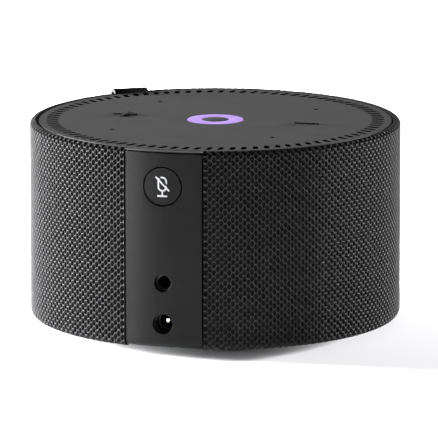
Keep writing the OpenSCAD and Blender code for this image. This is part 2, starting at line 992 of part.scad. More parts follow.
module mute_button() {
    flange_r = button_r + 1.45;
    flange_back = bar_y1 + button_travel + 0.3;
    flange_front = 46;
    stem_r = 1.6;
    color("#3c3c3d")
        difference() {
            union() {
                intersection() {
                    rod_y(button_r, flange_front - 0.1, body_r + e, 0, button_z);
                    disc(body_r, button_z - button_hole_d, button_z + button_hole_d);
                }
                rod_y(flange_r, flange_back, flange_front, 0, button_z);
                rod_y(stem_r, stem_y, flange_back + 0.1, 0, button_z);
            }
            icon_solid(body_r - icon_depth, body_r + e);
        }
}

module mute_icon() {
    color("#c9c9c9") icon_solid(body_r - icon_depth, body_r);
}

module button_bracket() {
    color("#1d1d1f")
        difference() {
            union() {
                block([-7, 35.2, baffle_top], [7, 36.4, button_z + 4]);
                block([-7, 31.8, baffle_top], [7, 35.3, baffle_top + 1.2]);
            }
            for (side = [-1, 1])
                translate([side * bracket_pin_x, bracket_pin_y, 0])
                        disc(bracket_pin_r + 0.05, baffle_top - e, baffle_top + 3);
        }
}

module button_board() {
    color("#1f5a3a") block([-6, 36.4, baffle_top + 0.2], [6, switch_y, button_z + 3.4]);
}

module button_switch() {
    color("#0f0f10")
        difference() {
            block([-3, switch_y, button_z - 3], [3, switch_y + switch_t, button_z + 3]);
            rod_y(1.85, switch_y + 1, switch_y + switch_t + e, 0, button_z);
            rod_y(2.5, switch_y + 0.6, switch_y + 2.2, 0, button_z);
        }
}

module switch_plunger() {
    color("#2e2e30") rod_y(1.7, switch_y + 2.1, stem_y, 0, button_z);
}

module switch_dome() {
    color("#c8c9cc")
        union() {
            rod_y(1.2, switch_y + 1.7, switch_y + 1.85, 0, button_z);
            translate([0, switch_y + 0.9, button_z]) rotate([-90, 0, 0])
                difference() {
                    cylinder(r1 = 2.3, r2 = 1.2, h = 0.95);
                    translate([0, 0, -0.15]) cylinder(r1 = 2.3, r2 = 1.2, h = 0.95);
                }
        }
}

// ---------------------------------------------------------------- assembly

top_cover();
touch_marks();
light_ring_lens();
centre_cap();
fabric_sleeve();
rear_panel();
mute_button();
mute_icon();
loop_tag();
base_cover();
foot_pad();
base_screws();
slot_mesh();
top_cover_screws();
touch_board();
touch_board_screws();
touch_foam_pads();
status_leds();
light_baffle();
microphones();
mic_seals();
inner_housing();
panel_screws();
speaker_box();
box_gasket();
speaker_box_screws();
speaker_baffle();
baffle_screws();
speaker_basket();
speaker_gasket();
speaker_screws();
magnet();
magnet_yoke();
magnet_top_plate();
voice_coil();
speaker_cone();
dust_cap();
cone_surround();
spider();
speaker_terminals();
speaker_wires();
wire_grommet();
main_board();
processor();
shield_can();
thermal_pads();
heat_spreader();
power_parts();
board_connectors();
ribbon_cable();
wifi_antennas();
antenna_leads();
audio_jack();
power_jack();
power_pin();
button_bracket();
button_board();
button_switch();
switch_plunger();
switch_dome();
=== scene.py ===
"""Looks of the round smart home hub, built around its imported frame.

Lengths here are millimetres, turned into metres where a mesh, light or camera is made. +Z is up, the
rear strip faces +Y, and a place on the skin is given by its angle about Z and its height.
"""
import math

import bmesh
import bpy
import numpy as np
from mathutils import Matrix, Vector


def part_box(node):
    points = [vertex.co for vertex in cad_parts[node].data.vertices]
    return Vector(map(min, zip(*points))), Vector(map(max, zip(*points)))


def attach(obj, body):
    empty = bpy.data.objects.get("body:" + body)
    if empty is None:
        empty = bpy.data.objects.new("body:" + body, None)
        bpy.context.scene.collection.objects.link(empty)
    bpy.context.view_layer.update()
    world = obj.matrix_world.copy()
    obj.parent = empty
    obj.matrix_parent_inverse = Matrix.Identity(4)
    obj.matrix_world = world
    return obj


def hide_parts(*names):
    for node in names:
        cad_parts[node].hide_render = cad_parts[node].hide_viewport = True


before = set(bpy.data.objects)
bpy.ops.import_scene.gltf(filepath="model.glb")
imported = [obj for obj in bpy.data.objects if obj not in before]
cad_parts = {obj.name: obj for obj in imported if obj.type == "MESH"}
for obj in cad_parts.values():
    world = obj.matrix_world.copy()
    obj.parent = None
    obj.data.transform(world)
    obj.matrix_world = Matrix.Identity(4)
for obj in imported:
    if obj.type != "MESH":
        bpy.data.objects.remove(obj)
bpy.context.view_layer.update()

MM = 0.001


def low_corner(node):
    """Lowest corner of a CAD node, in millimetres."""
    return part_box(node)[0] / MM


def high_corner(node):
    """Highest corner of a CAD node, in millimetres."""
    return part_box(node)[1] / MM


# ------------------------------------------------------------------ sizes, read from the frame

BODY_R = high_corner("fabric_sleeve").x
Z_TOP = high_corner("fabric_sleeve").z
Z_BASE = low_corner("fabric_sleeve").z
PLATE_R = high_corner("top_cover").x
PLATE_T = 2.0
PLATE_BOTTOM = Z_TOP - PLATE_T
PLATE_BEVEL = 0.06
REAR = math.pi / 2

# Skin profile, as on the CAD sleeve
GROOVE_R = PLATE_R + 0.4
TOP_ROUND = 1.1
BOTTOM_ROUND = 1.8
SKIN_T = 0.5
HEM_R = 46.2

# Sound slots and microphone holes of the top plate
SLOT_COUNT = 90
SLOT_R = 43.15
SLOT_L = 3.6
SLOT_W = 1.45
SLOT_SKEW = math.radians(17)
MIC_R = 30.8
MIC_HOLE_R = 0.65

# Light ring and touch marks
CAP_R = high_corner("centre_cap").x
LENS_FLANGE_R = high_corner("light_ring_lens").x
LIGHT_R = LENS_FLANGE_R - 1.5
MARK_L = 6.8
MARK_W = 0.8
MARK_X = high_corner("touch_marks").x - MARK_L / 2 - MARK_W / 2
MARK_TOP = high_corner("touch_marks").z
MARK_ROOT = 0.3
MARK_BEVEL = 0.05

# Rear strip and its openings
PANEL_LOW = low_corner("rear_panel").z
PANEL_HIGH = high_corner("rear_panel").z
PANEL_HALF = math.asin(high_corner("rear_panel").x / BODY_R)
PANEL_T = 0.9
PANEL_BEVEL = 0.09
PANEL_CORNER_R = 0.6
SEAM = math.radians(0.35)
BUTTON_HOLE_R = 5.2
BUTTON_R = 4.85
BUTTON_T = 1.6
BUTTON_BEVEL = 0.16
ICON_PROUD = 0.02
BUTTON_Z = (low_corner("mute_button").z + high_corner("mute_button").z) / 2
AUDIO_Z = 19.35
AUDIO_HOLE_R = 2.22
POWER_Z = 8.67
POWER_HOLE_R = 2.65

# Loop tag
TAG_ANGLE = math.radians(-45)
TAG_W = 10.2
TAG_T = 0.8
TAG_ARCH_R = 1.15
TAG_IN = PLATE_R + 0.1 + TAG_T / 2
TAG_ARCH_Z = Z_TOP - 0.5
TAG_DROP = 42.5
TAG_LIFT = 0.38

# Reflectances, painted shade, glow and light that set the picture's tones: lamps in watts
YARN = 0.047
# Painted shade: factor that darkens the yarn of both hems
HEM_PAINTED_SHADE = 0.75
# Painted shade: factor that darkens the yarn over the sleeve's top rounding and flange
TOP_PAINTED_SHADE = 0.38
PLATE_GREY = 0.025
PANEL_GREY = 0.009
GLOW = 0.89
ROOM_LOW = 0.06
ROOM_HIGH = 0.15
KEY_POWER = 150.0
KEY_SIZE = 300
RIM_POWER = 66.0
RIM_SIZE = 160
LAMP_DISTANCE = 900
LAMP_AIM = 30

# Where the lamps stand as the camera sees them: to its right, beyond the hub, and up
KEY_PLACE = (-1, 0.3, 0.1)
RIM_PLACE = (1, 0.53, 0.07)


# ------------------------------------------------------------------ camera

def add_camera():
    """Long-lens camera behind the hub, turned towards -X and a little above."""
    azimuth = math.radians(106.1)
    elevation = math.radians(11.13)
    distance = 1480.2
    aim = Vector((0, 0, 29))
    aside = 0.977
    lower = 1.909
    focal_length = 458.1
    sensor_width = 36
    view_range = 20000
    back = Vector((math.cos(elevation) * math.cos(azimuth), math.cos(elevation) * math.sin(azimuth),
                   math.sin(elevation)))
    right = Vector((-math.sin(azimuth), math.cos(azimuth), 0))
    up = back.cross(right)
    data = bpy.data.cameras.new("camera")
    data.lens = focal_length
    data.sensor_width = sensor_width
    data.clip_end = view_range * MM
    camera = bpy.data.objects.new("camera", data)
    bpy.context.scene.collection.objects.link(camera)
    camera.location = (aim + back * distance + right * aside - up * lower) * MM
    camera.rotation_euler = back.to_track_quat("Z", "Y").to_euler()
    bpy.context.scene.camera = camera
    return back, right


# ------------------------------------------------------------------ mesh helpers

def add_piece(mesh, body="root"):
    """A new object, named as its mesh, that rides on a body."""
    piece = bpy.data.objects.new(mesh.name, mesh)
    bpy.context.scene.collection.objects.link(piece)
    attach(piece, body)
    return piece


def mesh_of(name, points, faces, sharp=40):
    """Mesh in metres from points in millimetres, smooth but for edges sharper than an angle."""
    mesh = bpy.data.meshes.new(name)
    mesh.from_pydata((np.asarray(points, float) * MM).tolist(), [], faces)
    mesh.shade_smooth()
    mesh.set_sharp_from_angle(angle=math.radians(sharp))
    mesh.update()
    return mesh


def arc(centre, radius, start, end, steps):
    """Points of a circular arc, angles in degrees."""
    angles = np.radians(np.linspace(start, end, steps + 1))
    return [(centre[0] + radius * math.cos(a), centre[1] + radius * math.sin(a)) for a in angles]


def circle(centre, radius, steps):
    """Points of a full circle."""
    return arc(centre, radius, 0, 360 * (steps - 1) / steps, steps - 1)


def rounded_bar(centre, length, width, turn):
    """Outline of a round-ended bar, turned about its centre."""
    steps = 10
    reach = (length - width) / 2
    outline = arc((reach, 0), width / 2, -90, 90, steps) + arc((-reach, 0), width / 2, 90, 270, steps)
    c, s = math.cos(turn), math.sin(turn)
    return [(centre[0] + x * c - y * s, centre[1] + x * s + y * c) for x, y in outline]


def rounded_rectangle(x0, x1, y0, y1, radius, steps=6):
    """Outline of a rectangle with round corners."""
    return (arc((x1 - radius, y1 - radius), radius, 0, 90, steps)
            + arc((x0 + radius, y1 - radius), radius, 90, 180, steps)
            + arc((x0 + radius, y0 + radius), radius, 180, 270, steps)
            + arc((x1 - radius, y0 + radius), radius, 270, 360, steps))


def lathe(profile, steps=192):
    """Points and faces of a closed profile of (radius, height) turned right round Z."""
    count = len(profile)
    points = []
    faces = []
    for i in range(steps):
        a = 2 * math.pi * i / steps
        points += [(r * math.cos(a), r * math.sin(a), z) for r, z in profile]
        following = (i + 1) % steps
        for j in range(count):
            k = (j + 1) % count
            faces.append((i * count + j, following * count + j, following * count + k, i * count + k))
    return points, faces


def flat_plate(name, outlines, thickness, bevel):
    """bmesh in millimetres of a plate: the first outline less the others, edges rounded, top at z = 0."""
    bevel_rings = 3
    weld = 0.002
    curve = bpy.data.curves.new(name, "CURVE")
    curve.dimensions = "2D"
    curve.fill_mode = "BOTH"
    curve.extrude = thickness / 2 - bevel
    curve.bevel_depth = bevel
    curve.bevel_resolution = bevel_rings
    curve.offset = -bevel
    for outline in outlines:
        spline = curve.splines.new("POLY")
        spline.points.add(len(outline) - 1)
        for point, (x, y) in zip(spline.points, outline):
            point.co = (x, y, 0, 1)
        spline.use_cyclic_u = True
    holder = bpy.data.objects.new(name, curve)
    bpy.context.scene.collection.objects.link(holder)
    depsgraph = bpy.context.evaluated_depsgraph_get()
    mesh = bpy.data.meshes.new_from_object(holder.evaluated_get(depsgraph))
    bpy.data.objects.remove(holder)
    bpy.data.curves.remove(curve)
    plate = bmesh.new()
    plate.from_mesh(mesh)
    bpy.data.meshes.remove(mesh)
    bmesh.ops.remove_doubles(plate, verts=plate.verts, dist=weld)
    bmesh.ops.translate(plate, verts=plate.verts, vec=(0, 0, -thickness / 2))
    bmesh.ops.recalc_face_normals(plate, faces=plate.faces)
    return plate


def mesh_from_plate(plate, name, place):
    """Mesh in metres of a plate, each point put in place by a function of its (x, y, z)."""
    sharp = 35
    for vert in plate.verts:
        vert.co = Vector(place(*vert.co)) * MM
    bmesh.ops.recalc_face_normals(plate, faces=plate.faces)
    mesh = bpy.data.meshes.new(name)
    plate.to_mesh(mesh)
    plate.free()
    mesh.shade_smooth()
    mesh.set_sharp_from_angle(angle=math.radians(sharp))
    return mesh


def cut_strips(plate, axis, start, end, step):
    """Cuts a plate into strips across one axis, so that it can bend."""
    on_plane = 1e-4
    normal = (1, 0, 0) if axis == 0 else (0, 1, 0)
    for place in np.arange(start, end, step):
        spot = (place, 0, 0) if axis == 0 else (0, place, 0)
        parts = plate.verts[:] + plate.edges[:] + plate.faces[:]
        bmesh.ops.bisect_plane(plate, geom=parts, dist=on_plane, plane_co=spot, plane_no=normal)


# ------------------------------------------------------------------ material helpers

class Shader:
    """A Principled material and short names for the nodes that feed it."""

    def __init__(self, name, rough=0.5, metal=0.0, specular=0.5):
        self.material = bpy.data.materials.new(name)
        self.material.use_nodes = True
        self.tree = self.material.node_tree
        self.bsdf = self.tree.nodes["Principled BSDF"]
        self.set("Roughness", rough)
        self.set("Metallic", metal)
        self.set("Specular IOR Level", specular)
        self.place = self.add("ShaderNodeTexCoord").outputs["Object"]

    def set(self, socket, value):
        """Sets a socket that stays constant."""
        self.bsdf.inputs[socket].default_value = value

    def add(self, kind, **values):
        """A new node of a kind, with its settings."""
        node = self.tree.nodes.new(kind)
        for key, value in values.items():
            setattr(node, key, value)
        return node

    def link(self, output, target):
        """Links an output to a socket."""
        self.tree.links.new(output, target)

    def stretch(self, x, y, z):
        """Object coordinates scaled along each axis, for grain that runs one way."""
        mapping = self.add("ShaderNodeMapping")
        self.link(self.place, mapping.inputs["Vector"])
        mapping.inputs["Scale"].default_value = (x, y, z)
        return mapping.outputs["Vector"]

    def noise(self, size, detail=4.0, vector=None):
        """Noise whose features are about size millimetres across."""
        node = self.add("ShaderNodeTexNoise")
        node.inputs["Scale"].default_value = 1 / (size * MM)
        node.inputs["Detail"].default_value = detail
        self.link(vector or self.place, node.inputs["Vector"])
        return node.outputs["Fac"]

    def cells(self, size, feature="F1"):
        """Cells about size millimetres across."""
        node = self.add("ShaderNodeTexVoronoi", feature=feature)
        node.inputs["Scale"].default_value = 1 / (size * MM)
        self.link(self.place, node.inputs["Vector"])
        return node.outputs["Distance"]

    def wave(self, size, axis):
        """Bands size millimetres apart across one axis."""
        bands_per_unit = 0.314
        node = self.add("ShaderNodeTexWave", wave_type="BANDS", bands_direction=axis)
        node.inputs["Scale"].default_value = bands_per_unit / (size * MM)
        self.link(self.place, node.inputs["Vector"])
        return node.outputs["Fac"]

    def math(self, operation, first, second):
        """One step of arithmetic on two outputs or numbers."""
        node = self.add("ShaderNodeMath", operation=operation)
        for socket, value in zip(node.inputs, (first, second)):
            if isinstance(value, (int, float)):
                socket.default_value = value
            else:
                self.link(value, socket)
        return node.outputs[0]

    def ramp(self, factor, low, high, from_min=0.3, from_max=0.7):
        """Maps a factor between two colours or two numbers."""
        if isinstance(low, (int, float)):
            node = self.add("ShaderNodeMapRange")
            node.inputs["To Min"].default_value = low
            node.inputs["To Max"].default_value = high
            node.inputs["From Min"].default_value = from_min
            node.inputs["From Max"].default_value = from_max
            self.link(factor, node.inputs["Value"])
            return node.outputs["Result"]
        node = self.add("ShaderNodeValToRGB")
        node.color_ramp.elements[0].position = from_min
        node.color_ramp.elements[1].position = from_max
        node.color_ramp.elements[0].color = (*low, 1)
        node.color_ramp.elements[1].color = (*high, 1)
        self.link(factor, node.inputs["Fac"])
        return node.outputs["Color"]

    def blend_by_height(self, below, above, start, end):
        """One colour below a height and another above it, with a short blend in between."""
        axes = self.add("ShaderNodeSeparateXYZ")
        self.link(self.place, axes.inputs["Vector"])
        mix = self.add("ShaderNodeMix", data_type="RGBA")
        self.link(self.ramp(axes.outputs["Z"], 0.0, 1.0, start, end), mix.inputs["Factor"])
        self.link(below, mix.inputs["A"])
        self.link(above, mix.inputs["B"])
        return mix.outputs["Result"]

    def colour(self, output):
        """Feeds the base colour."""
        self.link(output, self.bsdf.inputs["Base Color"])

    def roughness(self, output):
        """Feeds the roughness."""
        self.link(output, self.bsdf.inputs["Roughness"])

    def bump(self, height, depth, strength=1.0):
        """Bump of depth millimetres, on top of any bump set before."""
        node = self.add("ShaderNodeBump")
        node.inputs["Distance"].default_value = depth * MM
        node.inputs["Strength"].default_value = strength
        self.link(height, node.inputs["Height"])
        normal = self.bsdf.inputs["Normal"]
        if normal.links:
            self.link(normal.links[0].from_socket, node.inputs["Normal"])
        self.link(node.outputs["Normal"], normal)


def tone(colour, factor):
    """A colour made darker or lighter."""
    return tuple(c * factor for c in colour)


def grey(value):
    """A grey with a trace of blue."""
    return (value, value, value * 1.02)


# ------------------------------------------------------------------ materials

def moulded(name, colour, rough=0.5, grain=0.25, depth=0.012, spread=0.08, specular=0.5):
    """Moulded plastic: spark-eroded grain, faint flow marks and uneven gloss."""
    s = Shader(name, rough, specular=specular)
    flow = s.noise(9, 3)
    s.colour(s.ramp(flow, tone(colour, 1 - spread), tone(colour, 1 + spread)))
    s.roughness(s.ramp(s.noise(3, 5), rough - 0.06, rough + 0.08))
    s.bump(s.noise(grain, 3), depth)
    return s


def metal(name, colour, rough, stretch=(1, 1, 12)):
    """Turned or stamped metal: fine lines that run one way, with duller patches."""
    spread = 0.15
    s = Shader(name, rough, metal=1.0)
    lines = s.noise(1.2, 6, s.stretch(*stretch))
    s.colour(s.ramp(lines, tone(colour, 1 - spread), tone(colour, 1 + spread / 2)))
    s.roughness(s.ramp(s.noise(4, 4), rough - 0.1, rough + 0.15))
    s.bump(lines, 0.006)
    return s


def soft(name, colour, rough, grain, depth, specular=0.3):
    """Foam, rubber, paper and ferrite, and the near-black painted shade at the sleeve's seam: fine open
    pores.
    """
    spread = 0.2
    s = Shader(name, rough, specular=specular)
    pores = s.cells(grain)
    s.colour(s.ramp(pores, tone(colour, 1 - spread), tone(colour, 1 + spread), 0.1, 0.8))
    s.roughness(s.ramp(s.noise(2), rough - 0.08, min(1.0, rough + 0.05)))
    s.bump(pores, depth)
    return s


def woven(name, colour, size):
    """Plain weave: two sets of threads that cross."""
    depth = 0.05
    sheen = 0.2
    s = Shader(name, 0.85, specular=0.25)
    threads = s.math("MULTIPLY", s.wave(size, "X"), s.wave(size, "Y"))
    s.colour(s.ramp(threads, tone(colour, 0.5), tone(colour, 1.2), 0.0, 0.6))
    s.roughness(s.ramp(s.noise(1.5), 0.75, 0.95))
    s.bump(threads, depth)
    s.set("Sheen Weight", sheen)
    return s


def circuit_board():
    """Solder mask over copper tracks."""
    over_copper = (0.02, 0.16, 0.07)
    over_board = (0.008, 0.07, 0.035)
    track_edge = (0.04, 0.06)
    s = Shader("circuit_board", 0.35)
    tracks = s.cells(2.2, "DISTANCE_TO_EDGE")
    s.colour(s.ramp(tracks, over_copper, over_board, *track_edge))
    s.roughness(s.ramp(s.noise(1.0), 0.28, 0.45))
    s.bump(s.ramp(tracks, 1.0, 0.0, *track_edge), 0.02)
    return s


def coil_winding():
    """Enamelled copper wire, wound turn on turn."""
    wire_pitch = 0.25
    between_turns = (0.25, 0.07, 0.02)
    on_turns = (0.75, 0.3, 0.12)
    s = Shader("coil_copper", 0.3, metal=1.0)
    turns = s.wave(wire_pitch, "Z")
    s.colour(s.ramp(turns, between_turns, on_turns, 0.1, 0.8))
    s.bump(turns, 0.06)
    return s


def knit_yarn(name, tone_of_yarn):
    """Dark polyester yarn: twisted fibres and melange tones, with painted shade that darkens it over the
    top edge.
    """
    darkest = tone_of_yarn * 0.72
    lightest = tone_of_yarn * 1.35
    # Painted shade: from this band up the yarn is darkened, in place of shading by the lamps
    shade_start = (Z_TOP - TOP_ROUND) * MM
    shade_end = (Z_TOP - 0.5) * MM
    s = Shader(name, 0.8, specular=0.03)
    fibres = s.noise(0.12, 5, s.stretch(1, 1, 0.35))
    melange = s.noise(1.3, 4)
    both = s.math("MULTIPLY_ADD", melange, 0.6)
    s.link(s.math("MULTIPLY", fibres, 0.4), both.node.inputs[2])
    side = s.ramp(both, grey(darkest), grey(lightest), 0.35, 0.65)
    top = s.ramp(both, grey(darkest * TOP_PAINTED_SHADE), grey(lightest * TOP_PAINTED_SHADE), 0.35, 0.65)
    s.colour(s.blend_by_height(side, top, shade_start, shade_end))
    s.roughness(s.ramp(melange, 0.62, 0.82))
    s.bump(fibres, 0.05, 0.7)
    return s


def top_plate_plastic():
    """Fine matt plastic of the touch top: its tone and gloss vary only faintly."""
    s = Shader("top_plastic", 0.6, specular=0.25)
    s.colour(s.ramp(s.noise(12, 2), grey(PLATE_GREY * 0.97), grey(PLATE_GREY * 1.03)))
    s.roughness(s.ramp(s.noise(6, 2), 0.58, 0.62))
    return s


def panel_plastic():
    """Satin plastic of the rear strip."""
    return moulded("panel_plastic", grey(PANEL_GREY), 0.45, 0.12, 0.002, 0.05, 0.12)


def mark_plastic():
    """Smooth raised plastic of the touch marks."""
    return moulded("mark_plastic", grey(0.035), 0.6, 0.4, 0.001, 0.05, 0.05)


def icon_print():
    """Pale inlaid ink of the microphone-off mark."""
    return moulded("icon_print", grey(0.62), 0.45, 0.1, 0.004, 0.03)


def ring_light():
    """Milky lens lit from below: its glow is faintly uneven."""
    s = moulded("ring_light", (0.08, 0.06, 0.12), 0.35, 0.3, 0.002, 0.05)
    glow = s.ramp(s.noise(3.2, 2), (0.45, 0.27, 0.84), (0.53, 0.34, 0.92))
    s.link(glow, s.bsdf.inputs["Emission Color"])
    s.set("Emission Strength", GLOW)
    return s


def housing_plastic():
    """Black inner plastic, with the same grey finish as the top where its rim shows above the strip."""
    s = moulded("housing_plastic", grey(0.012), 0.55, 0.25, 0.01)
    black = s.ramp(s.noise(9, 3), grey(0.010), grey(0.014))
    rim = s.ramp(s.noise(6, 3), grey(PLATE_GREY * 0.94), grey(PLATE_GREY * 1.04))
    edge = (Z_TOP - 0.25) * MM
    blend = 0.02 * MM
    s.colour(s.blend_by_height(black, rim, edge - blend, edge))
    return s


def strap_leather():
    """Dark coated strap with a pebbled face."""
    s = Shader("strap_coated", 0.6, specular=0.0)
    pebble = s.cells(0.5)
    s.colour(s.ramp(pebble, grey(0.006), grey(0.010), 0.1, 0.8))
    s.roughness(s.ramp(s.noise(2), 0.35, 0.5))
    s.bump(pebble, 0.008)
    return s


def strap_core_and_highlight():
    """Cut edge of the strap, paler than its face, with layered fibres: the paleness is partly the cut
    layers' own colour and partly a painted highlight.
    """
    s = Shader("strap_core_and_highlight", 0.7, specular=0.0)
    layers = s.noise(0.25, 4, s.stretch(1, 1, 3))
    s.colour(s.ramp(layers, grey(0.05), grey(0.07)))
    s.roughness(s.ramp(layers, 0.6, 0.8))
    s.bump(layers, 0.03)
    return s


# ------------------------------------------------------------------ knitted sleeve

FLANGE = BODY_R - TOP_ROUND - GROOVE_R
TOP_TURN = TOP_ROUND * math.pi / 2
WALL = Z_TOP - Z_BASE - TOP_ROUND - BOTTOM_ROUND
BOTTOM_TURN = BOTTOM_ROUND * math.pi / 2
UNDER = BODY_R - BOTTOM_ROUND - HEM_R
SKIN_LENGTH = FLANGE + TOP_TURN + WALL + BOTTOM_TURN + UNDER
SKIN_SWEEP = 2 * math.pi - 2 * (PANEL_HALF + SEAM)
SKIN_START = REAR + PANEL_HALF + SEAM
KNIT_WIDTH = BODY_R * SKIN_SWEEP


def skin_point(along, down, depth):
    """Points on the sleeve: along it from the strip's seam, down its profile from the groove, and in."""
    along, down, depth = np.broadcast_arrays(along, down, depth)
    top = np.clip((down - FLANGE) / TOP_ROUND, 0, math.pi / 2)
    wall = np.clip(down - FLANGE - TOP_TURN, 0, WALL)
    low = np.clip((down - FLANGE - TOP_TURN - WALL) / BOTTOM_ROUND, 0, math.pi / 2)
    under = np.clip(down - FLANGE - TOP_TURN - WALL - BOTTOM_TURN, 0, UNDER)
    r = GROOVE_R + np.clip(down, 0, FLANGE) + TOP_ROUND * np.sin(top)
    r = r - BOTTOM_ROUND * (1 - np.cos(low)) - under
    z = Z_TOP - TOP_ROUND * (1 - np.cos(top)) - wall - BOTTOM_ROUND * np.sin(low)
    tilt = math.pi / 2 - top - low
    r = r - depth * np.cos(tilt)
    z = z - depth * np.sin(tilt)
    angle = SKIN_START + along / BODY_R
    return np.stack([r * np.cos(angle), r * np.sin(angle), z], -1)


# Knit cells: widths across are in columns, everything else in millimetres
KNIT_PANELS = 4
KNIT_COLUMNS = 287
KNIT_ROWS = 29
KNIT_START = 0.55
KNIT_PITCH = KNIT_WIDTH / (KNIT_COLUMNS + 0.5)
KNIT_HALF = (SKIN_LENGTH - 2 * KNIT_START) / (2 * KNIT_ROWS + 1)
CELL_POINTS = 12
EDGE_REACH = 0.75
HOLE_W = 0.56
HOLE_H = 0.78
HOLE_POWER = 1.75
SHOULDER = 0.45
# Width of the painted shade along the knit's edges at the seam
SEAM_SHADE_WIDTH = 0.22
WAVER = 0.25
PROUD = 0.12
SHOULDER_DEPTH = 0.04 - PROUD
HOLE_EDGE_DEPTH = 0.12

# Hems, turned-in edges and lining
HEM_W = 0.75
FOLD_W = 0.26
LINING_INSET = 0.4
LINING_GAP = 0.04


def knit_drift(along, down):
    """Small uneven pull of the knit, in millimetres."""
    sideways = 0.07 * np.sin(along / 3.7 + 0.9 * np.sin(down / 5)) * np.sin(down / 4.3 + 1)
    lengthways = 0.08 * np.sin(along / 2.9 + 2) * np.sin(down / 6.1 + 0.7 * np.sin(along / 7))
    fade = np.clip(np.minimum(along, KNIT_WIDTH - along) / 2, 0, 1)
    return sideways * fade, lengthways * fade


def to_seam(across, column):
    """Straightens the outer side of the first and last columns, so that they end at the seam."""
    if column == 0:
        across = np.where(across < 0, -EDGE_REACH, across)
    if column == KNIT_COLUMNS - 1:
        across = np.where(across > 0, EDGE_REACH, across)
    return across


def knit_cell(column):
    """One cell as four rings of (across, down, depth): outline, shoulder, hole edge and hole bottom."""
    angles = np.radians(np.arange(0, 360, 360 / CELL_POINTS))
    down = KNIT_HALF * np.array([0, .5, 1, 1, 1, .5, 0, -.5, -1, -1, -1, -.5])
    side = np.array([1, 1, 1, 0, -1, -1, -1, -1, -1, 0, 1, 1])
    across = to_seam(side * (0.5 + WAVER * np.cos(math.pi * down / KNIT_HALF)), column)
    hole_across = HOLE_W * np.sign(np.cos(angles)) * np.abs(np.cos(angles)) ** (2 / HOLE_POWER)
    hole_down = HOLE_H * np.sign(np.sin(angles)) * np.abs(np.sin(angles)) ** (2 / HOLE_POWER)
    shoulder_across = SHOULDER * across + (1 - SHOULDER) * hole_across
    shoulder_down = SHOULDER * down + (1 - SHOULDER) * hole_down
    return ((across, down, -PROUD), (shoulder_across, shoulder_down, SHOULDER_DEPTH),
            (hole_across, hole_down, HOLE_EDGE_DEPTH), (hole_across, hole_down, SKIN_T))


def knit_panel(name, first, last):
    """The sleeve's open knit between two columns: every hole is a real opening through the cloth."""
    blocks = []
    faces = []
    count = 0
    weld = 0.004
    for column in range(first, last):
        rings = knit_cell(column)
        odd = column % 2
        centres = KNIT_START + KNIT_HALF * (1 + odd + 2 * np.arange(KNIT_ROWS))
        middle = (column + 0.75) * KNIT_PITCH
        cell = []
        for across, down, depth in rings:
            a = middle + across[None, :] * KNIT_PITCH + 0 * centres[:, None]
            d = centres[:, None] + down[None, :]
            sideways, lengthways = knit_drift(a, d)
            cell.append(skin_point(a + sideways, d + lengthways, depth))
        blocks.append(np.stack(cell, 1).reshape(-1, 3))
        size = CELL_POINTS * len(rings)
        for row in range(KNIT_ROWS):
            for ring in range(len(rings) - 1):
                outer = count + row * size + ring * CELL_POINTS
                inner = outer + CELL_POINTS
                for i in range(CELL_POINTS):
                    j = (i + 1) % CELL_POINTS
                    faces.append((outer + i, inner + i, inner + j, outer + j))
        count += KNIT_ROWS * size
        blocks.append(end_patch(column, odd))
        faces += [(count, count + 1, count + 3, count + 2), (count + 2, count + 3, count + 5, count + 4)]
        count += 6
    points = np.concatenate(blocks)
    keys = np.round(points / weld).astype(np.int64)
    _, kept, merged = np.unique(keys, axis=0, return_index=True, return_inverse=True)
    merged = merged.reshape(-1)
    faces = [tuple(dict.fromkeys(merged[i] for i in face)) for face in faces]
    faces = [face for face in faces if len(face) > 2]
    return mesh_of(name, points[kept], faces, 75)


def end_patch(column, odd):
    """Solid half cell that fills the stagger at the knit's top or bottom end."""
    middle = (column + 0.75) * KNIT_PITCH
    first = KNIT_START if odd else KNIT_START + 2 * KNIT_HALF * KNIT_ROWS
    steps = np.array([0, 0, .5, .5, 1, 1]) * KNIT_HALF
    side = np.array([-1, 1, -1, 1, -1, 1])
    phase = math.pi * steps / KNIT_HALF
    wave = 0.5 + WAVER * (np.cos(phase) if odd else -np.cos(phase))
    across = to_seam(side * wave, column)
    a = middle + across * KNIT_PITCH
    d = first + steps
    sideways, lengthways = knit_drift(a, d)
    return skin_point(a + sideways, d + lengthways, -PROUD)


def strip_along(name, profile):
    """A closed profile of (down, depth) run along the sleeve from seam to seam, with its ends shut."""
    steps = 420
    along = np.linspace(0, KNIT_WIDTH, steps + 1)
    down = np.array([p[0] for p in profile])
    depth = np.array([p[1] for p in profile])
    points = skin_point(along[:, None], down[None, :], depth[None, :]).reshape(-1, 3)
    count = len(profile)
    faces = []
    for i in range(steps):
        for j in range(count):
            k = (j + 1) % count
            faces.append((i * count + j, (i + 1) * count + j, (i + 1) * count + k, i * count + k))
    faces.append(tuple(range(count)))
    faces.append(tuple(reversed(range(steps * count, (steps + 1) * count))))
    return mesh_of(name, points, faces)


def hem_profile(start, end):
    """Rounded fold at one end of the sleeve, level with the skin."""
    round_r = 0.2
    low = 0.42
    return ([(start, low)] + [(start + round_r - round_r * math.cos(a), round_r - round_r * math.sin(a))
                              for a in np.radians([0, 30, 60, 90])]
            + [(end - round_r + round_r * math.sin(a), round_r - round_r * math.cos(a))
               for a in np.radians([0, 30, 60, 90])] + [(end, low)])


